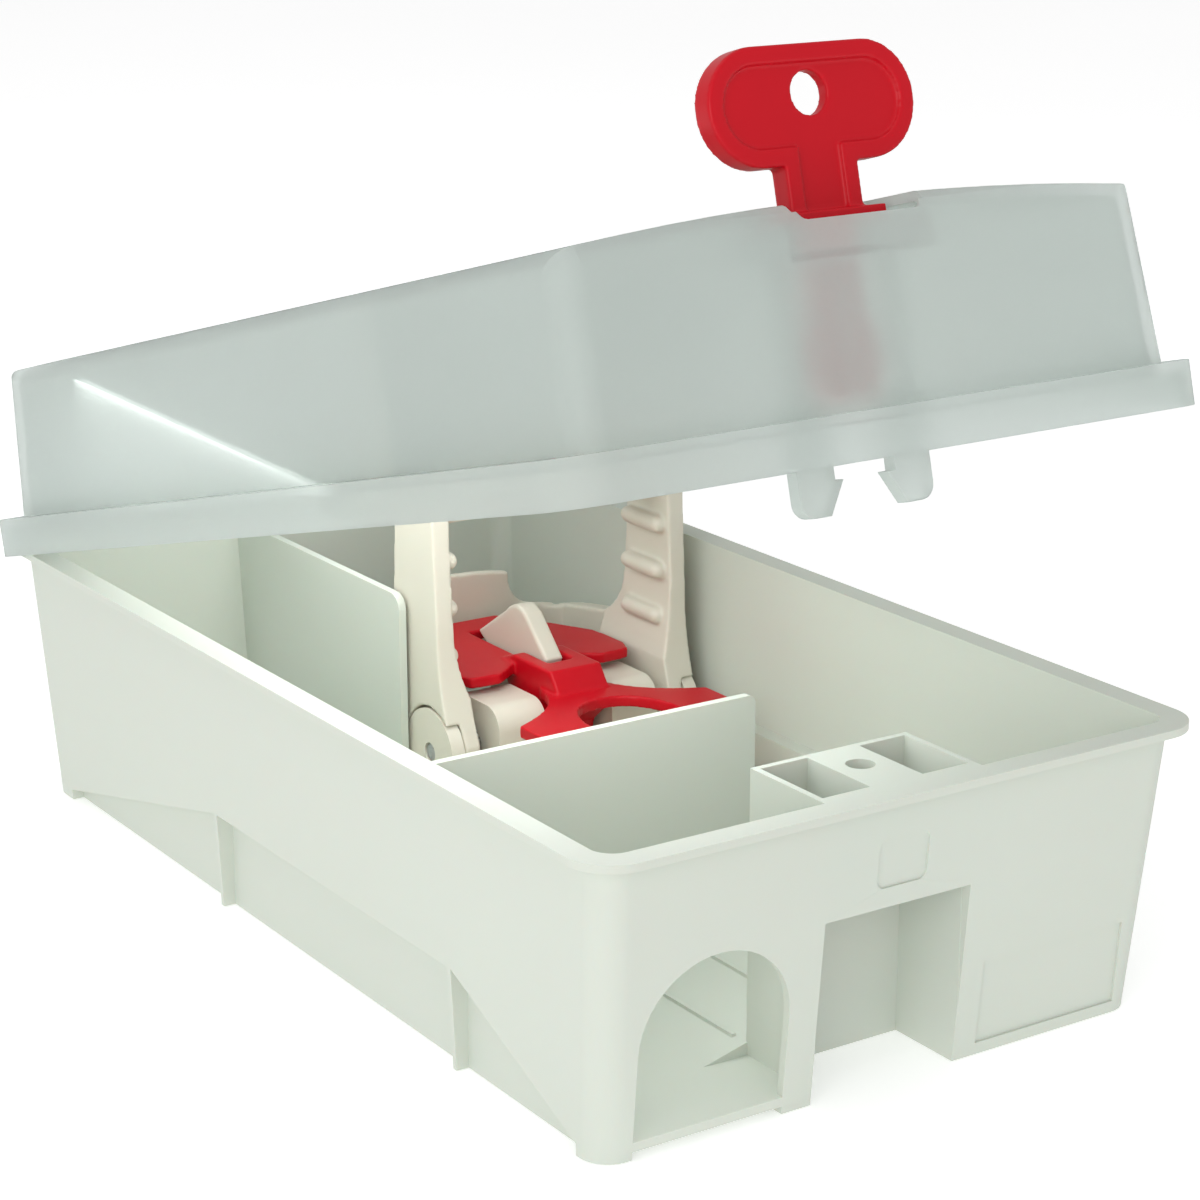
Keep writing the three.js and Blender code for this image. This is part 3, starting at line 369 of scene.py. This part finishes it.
class Graph:
    """A Geometry Nodes tree with named inputs, made in code."""

    def __init__(self, name, inputs):
        self.tree = bpy.data.node_groups.new(name, "GeometryNodeTree")
        self.sockets = {}
        for label, (kind, value) in inputs.items():
            socket = self.tree.interface.new_socket(label, in_out="INPUT", socket_type=kind)
            if value is not None:
                socket.default_value = value
            self.sockets[label] = socket.identifier
        self.tree.interface.new_socket("Geometry", in_out="OUTPUT", socket_type="NodeSocketGeometry")
        self.inputs = self.tree.nodes.new("NodeGroupInput")
        self.result = self.tree.nodes.new("NodeGroupOutput")

    def input(self, label):
        return self.inputs.outputs[label]

    def node(self, kind, settings=None, inputs=None, output=0):
        made = self.tree.nodes.new(kind)
        for name, value in (settings or {}).items():
            setattr(made, name, value)
        for name, value in (inputs or {}).items():
            if isinstance(value, bpy.types.NodeSocket):
                self.tree.links.new(value, made.inputs[name])
            else:
                made.inputs[name].default_value = value
        return made.outputs[output]

    def joined(self, *parts):
        made = self.tree.nodes.new("GeometryNodeJoinGeometry")
        for part in parts:
            self.tree.links.new(part, made.inputs[0])
        return made.outputs[0]

    def finish(self, geometry, material):
        real = self.node("GeometryNodeRealizeInstances", None, {0: geometry})
        dressed = self.node("GeometryNodeSetMaterial", None, {"Geometry": real, "Material": material})
        self.tree.links.new(dressed, self.result.inputs[0])


def spring_graph(material):
    """A torsion spring: a coil, a leg out of each end, swept with a round wire."""
    graph = Graph("torsion spring", {
        "Turns": ("NodeSocketFloat", 2.0),
        "Coil Radius": ("NodeSocketFloat", 0.0034),
        "Coil Width": ("NodeSocketFloat", 0.0022),
        "Wire Radius": ("NodeSocketFloat", 0.0005),
        "Leg": ("NodeSocketFloat", 0.006),
    })
    coil = graph.node("GeometryNodeCurveSpiral", None, {
        "Resolution": 28, "Rotations": graph.input("Turns"),
        "Start Radius": graph.input("Coil Radius"), "End Radius": graph.input("Coil Radius"),
        "Height": graph.input("Coil Width"),
    })
    start = graph.node("ShaderNodeCombineXYZ", None, {"X": graph.input("Coil Radius")})
    down = graph.node("ShaderNodeMath", {"operation": "MULTIPLY"}, {0: graph.input("Leg"), 1: -1.0})
    foot = graph.node("ShaderNodeCombineXYZ", None, {"X": graph.input("Coil Radius"), "Y": down})
    top_from = graph.node("ShaderNodeCombineXYZ", None, {
        "X": graph.input("Coil Radius"), "Z": graph.input("Coil Width"),
    })
    top_to = graph.node("ShaderNodeCombineXYZ", None, {
        "X": graph.input("Coil Radius"), "Y": graph.input("Leg"), "Z": graph.input("Coil Width"),
    })
    leg_low = graph.node("GeometryNodeCurvePrimitiveLine", None, {"Start": start, "End": foot})
    leg_high = graph.node("GeometryNodeCurvePrimitiveLine", None, {"Start": top_from, "End": top_to})
    section = graph.node("GeometryNodeCurvePrimitiveCircle", None, {
        "Resolution": 14, "Radius": graph.input("Wire Radius"),
    })
    wires = graph.joined(coil, leg_low, leg_high)
    swept = graph.node("GeometryNodeCurveToMesh", None, {
        "Curve": wires, "Profile Curve": section, "Fill Caps": True,
    })
    round_wire = graph.node("GeometryNodeSetShadeSmooth", None, {"Geometry": swept})
    graph.finish(round_wire, material)
    return graph


def grown(name, graph, values, slot, place):
    """Runs a graph on an empty mesh and keeps the result as a plain mesh in its place."""
    piece = bpy.data.objects.new(name, bpy.data.meshes.new(name))
    bpy.context.scene.collection.objects.link(piece)
    modifier = piece.modifiers.new(name, "NODES")
    modifier.node_group = graph.tree
    for label, value in values.items():
        modifier[graph.sockets[label]] = value
    baked(piece)
    piece.data.transform(place)
    if not piece.data.materials:
        piece.data.materials.append(look_for(slot))
    return piece


# ---------------------------------------------------------------- settings

class StationSettings(bpy.types.PropertyGroup):
    """Sizes and colours of the station's visual pieces."""

    edge_radius: FloatProperty(
        name="Edge radius", description="Rounding of the tray's moulded edges",
        default=0.0004, unit="LENGTH",
    )
    fine_radius: FloatProperty(
        name="Fine edge radius", description="Rounding of the trap's and key's edges",
        default=0.00035, unit="LENGTH",
    )
    wire_radius: FloatProperty(
        name="Wire radius", description="Radius of the spring wire", default=0.00043, unit="LENGTH",
    )
    soft_step: FloatProperty(
        name="Soft skin step", description="Grid of the softened skins", default=0.00028, unit="LENGTH",
    )
    soft_passes: IntProperty(name="Soft passes", description="How far soft edges are worn", default=5)
    coil_turns: IntProperty(name="Coil turns", description="Turns of each torsion spring", default=2)
    tray_colour: FloatVectorProperty(
        name="Tray colour", description="Pale green-white plastic", subtype="COLOR",
        default=(0.61, 0.655, 0.585),
    )
    lid_colour: FloatVectorProperty(
        name="Lid colour", description="Frosted plastic", subtype="COLOR", default=(0.75, 0.80, 0.775),
    )
    trap_colour: FloatVectorProperty(
        name="Trap colour", description="Warm off-white plastic", subtype="COLOR",
        default=(0.73, 0.70, 0.60),
    )
    red_colour: FloatVectorProperty(
        name="Red colour", description="Key and trigger plastic", subtype="COLOR",
        default=(0.56, 0.003, 0.012),
    )
    steel_colour: FloatVectorProperty(
        name="Steel colour", description="Pins and springs", subtype="COLOR",
        default=(0.55, 0.56, 0.57),
    )
    lid_frost: FloatProperty(
        name="Lid frost", description="Roughness of the frosted lid", default=0.78, subtype="FACTOR",
    )
    lid_clarity: FloatProperty(
        name="Lid clarity", description="Share of light that passes the lid",
        default=0.62, subtype="FACTOR",
    )


# ---------------------------------------------------------------- operators

class PieceOperator:
    bl_options = {"REGISTER", "UNDO"}

    def execute(self, context):
        self.make(context.scene.station_settings)
        return {"FINISHED"}


class STATION_OT_tray(PieceOperator, bpy.types.Operator):
    """Makes the moulded tray with its dividers and lock block"""
    bl_idname = "station.tray"
    bl_label = "Tray"

    def make(self, settings):
        stands_for(moulded("tray", settings.edge_radius), "tray")


class STATION_OT_lid(PieceOperator, bpy.types.Operator):
    """Makes the frosted lid and its snap hooks"""
    bl_idname = "station.lid"
    bl_label = "Lid and hooks"

    def make(self, settings):
        stands_for(moulded("lid_shell", settings.edge_radius), "lid_shell")
        for node in ("hook_left", "hook_right"):
            stands_for(moulded(node, settings.fine_radius), node)


class STATION_OT_key(PieceOperator, bpy.types.Operator):
    """Makes the red key"""
    bl_idname = "station.key"
    bl_label = "Key"

    def make(self, settings):
        passes = settings.soft_passes + KEY_EXTRA_PASSES
        stands_for(softened("key", settings.soft_step, passes), "key")


class STATION_OT_trap(PieceOperator, bpy.types.Operator):
    """Makes the trap's base, jaw, bait cup and trigger"""
    bl_idname = "station.trap"
    bl_label = "Trap"

    def make(self, settings):
        for node in ("jaw", "bait_cup", "trigger"):
            stands_for(softened(node, settings.soft_step * COARSE, settings.soft_passes - 1), node)
        stands_for(moulded("trap_base", settings.fine_radius * FINE_EDGE, 3), "trap_base")


class STATION_OT_pins(PieceOperator, bpy.types.Operator):
    """Makes the steel hinge pins and the jaw's axle"""
    bl_idname = "station.pins"
    bl_label = "Pins"

    def make(self, settings):
        for node in ("hinge_pin_left", "hinge_pin_right", "jaw_axle"):
            stands_for(moulded(node, settings.fine_radius), node)


class STATION_OT_springs(PieceOperator, bpy.types.Operator):
    """Makes the two torsion springs round the jaw's axle"""
    bl_idname = "station.springs"
    bl_label = "Springs"

    def make(self, settings):
        graph = spring_graph(look_for("steel"))
        for node in ("spring_left", "spring_right"):
            low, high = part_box(node)
            width = high.x - low.x - 2 * settings.wire_radius
            values = {
                "Turns": float(settings.coil_turns),
                "Coil Radius": (high.y - low.y) / 2 - settings.wire_radius,
                "Coil Width": width,
                "Wire Radius": settings.wire_radius,
                "Leg": SPRING_LEG,
            }
            along = Matrix.Rotation(math.radians(90), 4, "Y")
            place = Matrix.Translation(((low.x + settings.wire_radius), AXLE.y, AXLE.z)) @ along
            stands_for(grown("wire_" + node, graph, values, "steel", place), node)


class STATION_OT_stage(PieceOperator, bpy.types.Operator):
    """Makes the floor, the soft lights and the camera"""
    bl_idname = "station.stage"
    bl_label = "Stage"

    def make(self, settings):
        make_floor()
        make_lights()
        make_camera()


# ---------------------------------------------------------------- stage

def make_floor():
    mesh = bpy.data.meshes.new("floor")
    bm = bmesh.new()
    bmesh.ops.create_grid(bm, x_segments=1, y_segments=1, size=4.0)
    bm.to_mesh(mesh)
    bm.free()
    mesh.transform(Matrix.Translation((0, 0, -FLOOR_DROP)))
    floor = bpy.data.objects.new("floor", mesh)
    bpy.context.scene.collection.objects.link(floor)
    look = Look("floor")
    cloud = look.noise(3.0, 2.0, 0.5)
    pale = look.mix(cloud, (0.93, 0.93, 0.93, 1), (0.96, 0.96, 0.96, 1))
    look.surface(Base_Color=pale, Roughness=0.7)
    look.surface(Specular_IOR_Level=0.1, Emission_Color=(1.0, 1.0, 1.0, 1.0), Emission_Strength=0.35)
    mesh.materials.append(look.material)


def soft_light(name, place, target, size, power):
    """A rectangular light of a size in metres and a power in watts, aimed at a target."""
    data = bpy.data.lights.new(name, "AREA")
    data.shape = "RECTANGLE"
    data.size, data.size_y = size
    data.energy = power
    light = bpy.data.objects.new(name, data)
    bpy.context.scene.collection.objects.link(light)
    light.location = place
    light.rotation_euler = (Vector(target) - Vector(place)).to_track_quat("-Z", "Y").to_euler()
    light.visible_camera = False
    light.visible_transmission = False


def make_lights():
    world = bpy.data.worlds.new("studio")
    bpy.context.scene.world = world
    world.use_nodes = True
    world.node_tree.nodes["Background"].inputs["Color"].default_value = (1.0, 1.0, 1.0, 1.0)
    world.node_tree.nodes["Background"].inputs["Strength"].default_value = 0.62
    centre = (0.0, 0.0, 0.04)
    soft_light("key", (-1.1, -0.9, 0.5), centre, (1.0, 0.8), 6.8)
    soft_light("top", (-0.2, 0.0, 1.3), centre, (1.2, 1.2), 3.0)
    soft_light("under_lid", (-0.022, -0.005, 0.086), (-0.022, -0.005, 0.0), (0.065, 0.16), 0.09)


# The view: where the camera stands, and how far it is turned from +Y and tipped down.
CAMERA_PLACE = Vector((-0.2680, -0.4227, 0.2029))
CAMERA_TURN = math.radians(33.34)
CAMERA_TIP = math.radians(16.61)
CAMERA_ROLL = math.radians(-0.08)


def make_camera():
    data = bpy.data.cameras.new("camera")
    data.sensor_width = 36.0
    data.lens = 89.535
    data.shift_x = 0.0077
    data.clip_start = 0.02
    camera = bpy.data.objects.new("camera", data)
    bpy.context.scene.collection.objects.link(camera)
    ahead = Vector((
        math.sin(CAMERA_TURN) * math.cos(CAMERA_TIP),
        math.cos(CAMERA_TURN) * math.cos(CAMERA_TIP),
        -math.sin(CAMERA_TIP),
    ))
    turn = ahead.to_track_quat("-Z", "Y").to_matrix().to_4x4()
    camera.matrix_world = Matrix.Translation(CAMERA_PLACE) @ turn @ Matrix.Rotation(CAMERA_ROLL, 4, "Z")
    bpy.context.scene.camera = camera
    bpy.context.scene.view_settings.view_transform = "Standard"


# ---------------------------------------------------------------- panel and main

PIECES = (
    STATION_OT_tray, STATION_OT_lid, STATION_OT_key, STATION_OT_trap,
    STATION_OT_pins, STATION_OT_springs, STATION_OT_stage,
)


class STATION_PT_panel(bpy.types.Panel):
    """Lists the station's pieces and settings"""
    bl_idname = "STATION_PT_panel"
    bl_label = "Mouse Trap Station"
    bl_space_type = "VIEW_3D"
    bl_region_type = "UI"
    bl_category = "Station"

    def draw(self, context):
        for operator in PIECES:
            self.layout.operator(operator.bl_idname)
        for name in StationSettings.__annotations__:
            self.layout.prop(context.scene.station_settings, name)


CLASSES = (StationSettings, *PIECES, STATION_PT_panel)


def register():
    for cls in CLASSES:
        bpy.utils.register_class(cls)
    bpy.types.Scene.station_settings = PointerProperty(type=StationSettings)


def unregister():
    del bpy.types.Scene.station_settings
    for cls in reversed(CLASSES):
        bpy.utils.unregister_class(cls)


def main():
    register()
    bpy.ops.station.tray()
    bpy.ops.station.lid()
    bpy.ops.station.key()
    bpy.ops.station.trap()
    bpy.ops.station.pins()
    bpy.ops.station.springs()
    bpy.ops.station.stage()


if __name__ == "__main__":
    main()
